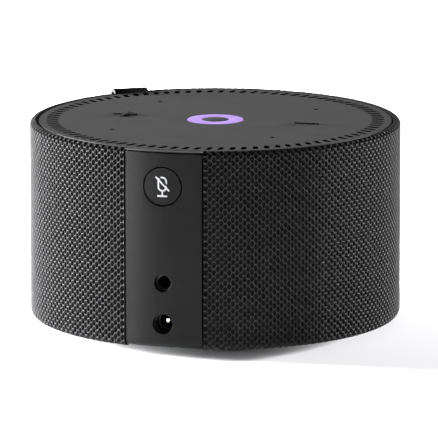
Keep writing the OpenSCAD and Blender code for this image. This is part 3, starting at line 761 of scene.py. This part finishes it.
def side_fold(name, along0, along1):
    """The sleeve's edge, turned in beside the strip's seam."""
    inset = 0.1
    back = 0.47
    shoulder = 0.1
    face = 0.03
    down = np.linspace(inset, SKIN_LENGTH - inset, 160)
    rise = [(along0, back), (along0, shoulder), (along0 * 0.7 + along1 * 0.3, face),
            (along0 * 0.3 + along1 * 0.7, face), (along1, shoulder), (along1, back)]
    lines = [skin_point(np.full(1, a), down[:, None], d).reshape(-1, 1, 3) for a, d in rise]
    points = np.concatenate(lines, 1)
    count = len(rise)
    faces = []
    for i in range(len(down) - 1):
        for j in range(count):
            k = (j + 1) % count
            faces.append((i * count + j, (i + 1) * count + j, (i + 1) * count + k, i * count + k))
    faces.append(tuple(range(count)))
    faces.append(tuple(reversed(range((len(down) - 1) * count, len(down) * count))))
    return mesh_of(name, points.reshape(-1, 3), faces, 50)


def lining_mesh():
    """Thin acoustic cloth behind the knit, as one open sheet."""
    columns = 361
    rows = 90
    along = np.linspace(0, KNIT_WIDTH, columns)
    down = np.linspace(LINING_INSET, SKIN_LENGTH - LINING_INSET, rows)
    points = skin_point(along[:, None], down[None, :], SKIN_T + LINING_GAP).reshape(-1, 3)
    faces = [(i * rows + j, i * rows + j + 1, (i + 1) * rows + j + 1, (i + 1) * rows + j)
             for i in range(columns - 1) for j in range(rows - 1)]
    return mesh_of("fabric_lining", points, faces)


def make_sleeve(yarn, hem, seam_shade, lining_cloth):
    """The whole sleeve: knit in panels, two hems, two turned-in edges and the lining behind."""
    top_fold = hem_profile(0.02, HEM_W)
    bottom_fold = hem_profile(SKIN_LENGTH - HEM_W, SKIN_LENGTH)
    folds = [add_piece(side_fold("fabric_edge_left", 0.0, FOLD_W)),
             add_piece(side_fold("fabric_edge_right", KNIT_WIDTH - FOLD_W, KNIT_WIDTH))]
    hems = [add_piece(strip_along("fabric_hem_top", top_fold)),
            add_piece(strip_along("fabric_hem_bottom", bottom_fold))]
    # Painted shade: the turned-in edges take a near-black finish, standing in for the shade in the seam
    # beside the strip
    for piece in folds:
        piece.data.materials.append(seam_shade)
    for piece in hems:
        piece.data.materials.append(hem)
    for i in range(KNIT_PANELS):
        first = KNIT_COLUMNS * i // KNIT_PANELS
        last = KNIT_COLUMNS * (i + 1) // KNIT_PANELS
        knit = add_piece(knit_panel(f"fabric_knit_{i + 1}", first, last))
        knit.data.materials.append(yarn)
        knit.data.materials.append(seam_shade)
        # Painted shade: the knit's strands next to the seam take the same near-black finish
        for face in knit.data.polygons:
            turn = abs(math.atan2(face.center.x, face.center.y))
            if (turn - PANEL_HALF - SEAM) * BODY_R < SEAM_SHADE_WIDTH:
                face.material_index = 1
        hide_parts("fabric_sleeve")
    lining = add_piece(lining_mesh())
    lining.data.materials.append(lining_cloth)


# ------------------------------------------------------------------ top

def slot_outlines():
    """Skewed round-ended slots in a ring."""
    for i in range(SLOT_COUNT):
        angle = REAR + (i + 0.5) * 2 * math.pi / SLOT_COUNT
        centre = (SLOT_R * math.cos(angle), SLOT_R * math.sin(angle))
        yield rounded_bar(centre, SLOT_L, SLOT_W, angle - SLOT_SKEW)


def make_top(plastic, opening_shade_paint, mark, side_shade_paint, light):
    """Slotted plate, touch marks, ring light and the disc inside it."""
    level = 0.999
    steep = 0.75
    rim = 0.5
    outlines = [circle((0, 0), PLATE_R, 256), circle((0, 0), LIGHT_R + 0.1, 128)]
    outlines += slot_outlines()
    quarters = [math.radians(45 + 90 * i) for i in range(4)]
    outlines += [circle((MIC_R * math.cos(a), MIC_R * math.sin(a)), MIC_HOLE_R, 24) for a in quarters]
    plate = flat_plate("top_plate", outlines, PLATE_T, PLATE_BEVEL)
    top = add_piece(mesh_from_plate(plate, "top_plate", lambda x, y, z: (x, y, z + Z_TOP)))
    top.data.materials.append(plastic)
    top.data.materials.append(opening_shade_paint)
    # Painted shade: the walls inside the slots, microphone holes and the ring's opening take a near-black
    # finish, standing in for the shade within them
    for face in top.data.polygons:
        inside = face.center.xy.length < (PLATE_R - rim) * MM
        if inside and abs(face.normal.z) < steep:
            face.material_index = 1
        if abs(face.normal.z) > level:
            face.use_smooth = False
    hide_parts("top_cover")

    def raised(name, outline):
        """A touch mark that stands up from the plate, with its root inside it and painted shade on its
        sides.
        """
        shape = flat_plate(name, [outline], MARK_TOP - Z_TOP + MARK_ROOT, MARK_BEVEL)
        piece = add_piece(mesh_from_plate(shape, name, lambda x, y, z: (x, y, z + MARK_TOP)))
        piece.data.materials.append(mark)
        piece.data.materials.append(side_shade_paint)
        # Painted shade: every face but the flat top takes the near-black side finish
        for face in piece.data.polygons:
            if face.normal.z > level:
                face.use_smooth = False
            else:
                face.material_index = 1
        return piece

    plus = raised("plus_mark", plus_outline((MARK_X, 0), MARK_L, MARK_W))
    raised("minus_mark", rounded_bar((-MARK_X, 0), MARK_L, MARK_W, 0))
    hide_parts("touch_marks")

    flange_top = PLATE_BOTTOM - 0.02
    flange_bottom = PLATE_BOTTOM - 0.6
    inner_r = CAP_R + 0.05
    edge_round = 0.12
    lens_edge = Z_TOP - 0.02 - edge_round
    ring_profile = ([(inner_r, flange_bottom), (LENS_FLANGE_R, flange_bottom),
                     (LENS_FLANGE_R, flange_top), (LIGHT_R, flange_top)]
                    + arc((LIGHT_R - edge_round, lens_edge), edge_round, 0, 90, 4)
                    + arc((inner_r + edge_round, lens_edge), edge_round, 90, 180, 4))
    points, faces = lathe(ring_profile)
    ring = add_piece(mesh_of("ring_light", points, faces, 30))
    ring.data.materials.append(light)
    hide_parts("light_ring_lens")
    near_axis = 0.01
    cap_profile = ([(near_axis, PLATE_BOTTOM), (CAP_R, PLATE_BOTTOM)]
                   + arc((CAP_R - edge_round, Z_TOP - edge_round), edge_round, 0, 90, 4)
                   + [(near_axis, Z_TOP)])
    points, faces = lathe(cap_profile, 96)
    cap = add_piece(mesh_of("ring_centre", points, faces, 30))
    cap.data.materials.append(plastic)
    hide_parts("centre_cap")


def plus_outline(centre, length, width):
    """Outline of a plus with round ends."""
    steps = 6
    reach = (length - width) / 2
    half = width / 2
    points = []
    for turn in range(4):
        c = round(math.cos(turn * math.pi / 2))
        s = round(math.sin(turn * math.pi / 2))
        arm = [(half, -half)] + arc((reach, 0), half, -90, 90, steps)
        points += [(centre[0] + x * c - y * s, centre[1] + x * s + y * c) for x, y in arm]
    return points


# ------------------------------------------------------------------ rear strip

def make_rear(plastic, icon_finish):
    """Rear strip with its openings, and the mute key's face and inlaid mark."""
    bend = PANEL_LOW + BOTTOM_ROUND
    under = BOTTOM_ROUND * math.radians(84)
    reach = BODY_R * PANEL_HALF
    strip_step = 0.7
    bend_step = 0.24
    key_step = 0.6

    def on_strip(x, y, z):
        """The strip's flat plan wrapped on the body, its lower end curled under."""
        turn = max(0.0, bend - y) / BOTTOM_ROUND
        r = BODY_R - BOTTOM_ROUND * (1 - math.cos(turn)) + z * math.cos(turn)
        height = max(y, bend) - BOTTOM_ROUND * math.sin(turn) - z * math.sin(turn)
        angle = REAR - x / BODY_R
        return r * math.cos(angle), r * math.sin(angle), height

    outlines = [rounded_rectangle(-reach, reach, bend - under, PANEL_HIGH, PANEL_CORNER_R)]
    outlines += [circle((0, BUTTON_Z), BUTTON_HOLE_R, 96), circle((0, AUDIO_Z), AUDIO_HOLE_R, 64),
                 circle((0, POWER_Z), POWER_HOLE_R, 72)]
    strip = flat_plate("rear_strip", outlines, PANEL_T, PANEL_BEVEL)
    cut_strips(strip, 0, -reach + strip_step / 2, reach, strip_step)
    cut_strips(strip, 1, bend - BOTTOM_ROUND * 1.45, bend + 0.01, bend_step)
    panel = add_piece(mesh_from_plate(strip, "rear_strip", on_strip))
    panel.data.materials.append(plastic)
    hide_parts("rear_panel")

    disc = flat_plate("mute_key_top", [circle((0, BUTTON_Z), BUTTON_R, 96)], BUTTON_T, BUTTON_BEVEL)
    cut_strips(disc, 0, -BUTTON_R + key_step / 2, BUTTON_R, key_step)
    key = add_piece(mesh_from_plate(disc, "mute_key_top", on_strip), "mute_key")
    key.data.materials.append(plastic)

    icon_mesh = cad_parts["mute_icon"].data.copy()
    icon_mesh.name = "mute_icon_inlay"
    icon_mesh.materials.clear()
    for vert in icon_mesh.vertices:
        vert.co.y += ICON_PROUD * MM
    icon = add_piece(icon_mesh, "mute_key")
    icon_mesh.materials.append(icon_finish)
    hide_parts("mute_icon")


# ------------------------------------------------------------------ loop tag

def make_tag(leather, core_and_highlight):
    """Strap folded over the rim: up out of the groove, round its arch and down the skin."""
    root = Z_TOP - 1.9
    arch_end = TAG_ARCH_Z - 0.8
    hanging_end = TAG_DROP + 0.05
    deepest_sag = 0.12
    edge_round = 0.14
    half = TAG_T / 2
    path = [(TAG_IN, root)]
    path += arc((TAG_IN + TAG_ARCH_R, TAG_ARCH_Z), TAG_ARCH_R, 180, 0, 20)
    straight = np.linspace(arch_end, hanging_end, 12)
    sag = [deepest_sag * math.sin(math.pi * (TAG_ARCH_Z - z) / (TAG_ARCH_Z - TAG_DROP)) for z in straight]
    path += [(TAG_IN + 2 * TAG_ARCH_R - s, z) for s, z in zip(sag, straight)]
    section = rounded_rectangle(-TAG_W / 2, TAG_W / 2, -half, half, edge_round, 3)
    count = len(section)
    points = []
    for i, (r, z) in enumerate(path):
        before = path[max(i - 1, 0)]
        after = path[min(i + 1, len(path) - 1)]
        run = Vector((after[0] - before[0], after[1] - before[1])).normalized()
        out = Vector((-run.y, run.x))
        lift = TAG_LIFT * min(1, max(0, (z - TAG_DROP) / (Z_TOP - TAG_DROP)))
        for across, thick in section:
            points.append((r + out.x * thick, across, z + out.y * thick + lift * across / TAG_W))
    faces = []
    for i in range(len(path) - 1):
        for j in range(count):
            k = (j + 1) % count
            faces.append((i * count + j, i * count + k, (i + 1) * count + k, (i + 1) * count + j))
    faces.append(tuple(reversed(range(count))))
    faces.append(tuple(range((len(path) - 1) * count, len(path) * count)))
    c, s = math.cos(TAG_ANGLE), math.sin(TAG_ANGLE)
    points = [(x * c - y * s, x * s + y * c, z) for x, y, z in points]
    mesh = mesh_of("loop_strap", points, faces, 50)
    tag = add_piece(mesh)
    mesh.materials.append(leather)
    mesh.materials.append(core_and_highlight)
    side = Vector((-s, c, 0))
    sideways = 0.8
    # The cut edges take the paler finish: partly their own colour, partly a painted highlight
    for face in mesh.polygons:
        if abs(face.normal.dot(side)) > sideways:
            face.material_index = 1
    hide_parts("loop_tag")


# ------------------------------------------------------------------ frame pieces

def dress_frame(finishes):
    """Gives the CAD nodes that stay their finishes."""
    for finish, nodes in finishes:
        for name in nodes:
            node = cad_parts[name]
            node.data.materials.clear()
            node.data.materials.append(finish.material)


# ------------------------------------------------------------------ studio

def add_lamp(name, direction, size, power):
    """Round soft lamp that faces the hub from a direction."""
    data = bpy.data.lights.new(name, "AREA")
    data.shape = "DISK"
    data.size = size * MM
    data.energy = power
    lamp = bpy.data.objects.new(name, data)
    bpy.context.scene.collection.objects.link(lamp)
    lamp.location = (direction.normalized() * LAMP_DISTANCE + Vector((0, 0, LAMP_AIM))) * MM
    lamp.rotation_euler = direction.to_track_quat("Z", "Y").to_euler()


def light_room(back, right):
    """Pale floor, a room that is brighter overhead, and two soft lamps beside and beyond the hub."""
    reach = 6000 * MM
    darkest_below = 0.25
    brightest_above = 0.9
    floor_mesh = bpy.data.meshes.new("floor")
    floor_mesh.from_pydata([(-reach, -reach, 0), (reach, -reach, 0), (reach, reach, 0), (-reach, reach, 0)],
                           [], [(0, 1, 2, 3)])
    floor = bpy.data.objects.new("floor", floor_mesh)
    bpy.context.scene.collection.objects.link(floor)
    paint = Shader("floor_paint", 0.9, specular=0.1)
    paint.colour(paint.ramp(paint.noise(60), grey(0.93), grey(0.95)))
    floor_mesh.materials.append(paint.material)

    world = bpy.data.worlds.new("studio")
    world.use_nodes = True
    bpy.context.scene.world = world
    nodes = world.node_tree.nodes
    links = world.node_tree.links
    direction = nodes.new("ShaderNodeTexCoord").outputs["Generated"]
    axes = nodes.new("ShaderNodeSeparateXYZ")
    links.new(direction, axes.inputs["Vector"])
    ramp = nodes.new("ShaderNodeMapRange")
    ramp.interpolation_type = "SMOOTHSTEP"
    ramp.inputs["From Min"].default_value = darkest_below
    ramp.inputs["From Max"].default_value = brightest_above
    ramp.inputs["To Min"].default_value = ROOM_LOW
    ramp.inputs["To Max"].default_value = ROOM_HIGH
    links.new(axes.outputs["Z"], ramp.inputs["Value"])
    links.new(ramp.outputs["Result"], nodes["Background"].inputs["Strength"])
    nodes["Background"].inputs["Color"].default_value = (1, 1, 1, 1)

    up = Vector((0, 0, 1))
    level = Vector((back.x, back.y, 0)).normalized()
    for name, place, size, power in (("key", KEY_PLACE, KEY_SIZE, KEY_POWER),
                                     ("rim", RIM_PLACE, RIM_SIZE, RIM_POWER)):
        aside, beyond, rise = place
        add_lamp(name, right * aside - level * beyond + up * rise, size, power)
    bpy.context.scene.view_settings.view_transform = "Standard"


# ------------------------------------------------------------------ the whole hub

camera_back, camera_right = add_camera()

plate_finish = top_plate_plastic()
strip_finish = panel_plastic()
strap_finish = strap_leather()
yarn_finish = knit_yarn("knit_yarn", YARN)
# Near-black painted shade for the walls inside the top's openings
opening_shade_paint = moulded("opening_painted_shade", grey(0.002), 0.9, specular=0.0)
black_cloth = woven("black_cloth", grey(0.006), 0.3)

# Hems: the same yarn, darkened as painted shade
hem_yarn_and_shade = knit_yarn("knit_hem_painted_shade", YARN * HEM_PAINTED_SHADE)
# Near-black painted shade for the seam beside the strip
seam_shade_finish = soft("seam_painted_shade", grey(0.003), 0.95, 0.3, 0.02, specular=0.0)
make_sleeve(yarn_finish.material, hem_yarn_and_shade.material, seam_shade_finish.material, black_cloth.material)
# Near-black painted shade for the side walls of the touch marks
mark_side_painted_shade = moulded("mark_side_painted_shade", grey(0.004), 0.8, specular=0.0)
make_top(plate_finish.material, opening_shade_paint.material, mark_plastic().material, mark_side_painted_shade.material,
         ring_light().material)
make_rear(strip_finish.material, icon_print().material)
make_tag(strap_finish.material, strap_core_and_highlight().material)

steel = metal("screw_steel", (0.5, 0.5, 0.52), 0.3)
dress_frame([
    (housing_plastic(), ["inner_housing"]),
    (strip_finish, ["mute_button"]),
    (moulded("base_plastic", grey(0.02), 0.5, 0.3, 0.02), ["base_cover"]),
    (soft("foot_rubber", grey(0.018), 0.75, 0.3, 0.01), ["foot_pad"]),
    (moulded("black_plastic", grey(0.012), 0.4, 0.2, 0.01),
     ["speaker_box", "speaker_baffle", "audio_jack", "power_jack", "button_bracket", "button_switch",
      "speaker_terminals", "light_baffle"]),
    (moulded("plunger_plastic", (0.35, 0.33, 0.3), 0.4), ["switch_plunger"]),
    (black_cloth, ["slot_mesh"]),
    (soft("foam", grey(0.03), 0.95, 0.35, 0.08),
     ["touch_foam_pads", "mic_seals", "box_gasket", "speaker_gasket"]),
    (steel, ["base_screws", "top_cover_screws", "touch_board_screws", "panel_screws", "speaker_box_screws",
             "baffle_screws", "speaker_screws"]),
    (circuit_board(), ["touch_board", "main_board", "button_board", "wifi_antennas"]),
    (moulded("chip_plastic", grey(0.015), 0.45, 0.08, 0.004), ["processor", "power_parts"]),
    (moulded("led_plastic", (0.85, 0.8, 0.6), 0.3, 0.1, 0.003), ["status_leds"]),
    (metal("can_metal", (0.62, 0.62, 0.6), 0.3, (12, 1, 1)), ["shield_can", "microphones"]),
    (soft("thermal_pad", (0.3, 0.34, 0.42), 0.8, 0.3, 0.02), ["thermal_pads"]),
    (metal("spreader_metal", (0.7, 0.71, 0.72), 0.35, (1, 12, 1)), ["heat_spreader"]),
    (soft("magnet_ferrite", grey(0.05), 0.6, 0.2, 0.02), ["magnet"]),
    (metal("speaker_steel", (0.55, 0.52, 0.42), 0.35), ["magnet_yoke", "magnet_top_plate"]),
    (metal("basket_metal", grey(0.08), 0.5), ["speaker_basket"]),
    (soft("cone_paper", grey(0.025), 0.85, 0.4, 0.04), ["speaker_cone", "dust_cap"]),
    (moulded("surround_rubber", grey(0.015), 0.6, 0.3, 0.01), ["cone_surround", "wire_grommet"]),
    (woven("spider_cloth", (0.55, 0.35, 0.12), 0.4), ["spider"]),
    (coil_winding(), ["voice_coil"]),
    (moulded("wire_insulation", (0.02, 0.02, 0.02), 0.45, 0.3, 0.01), ["speaker_wires", "antenna_leads"]),
    (moulded("ribbon_film", (0.6, 0.32, 0.06), 0.3, 0.3, 0.005), ["ribbon_cable"]),
    (moulded("connector_plastic", (0.7, 0.66, 0.55), 0.45), ["board_connectors"]),
    (metal("contact_metal", (0.75, 0.7, 0.6), 0.2, (1, 12, 1)), ["power_pin", "switch_dome"]),
])

light_room(camera_back, camera_right)
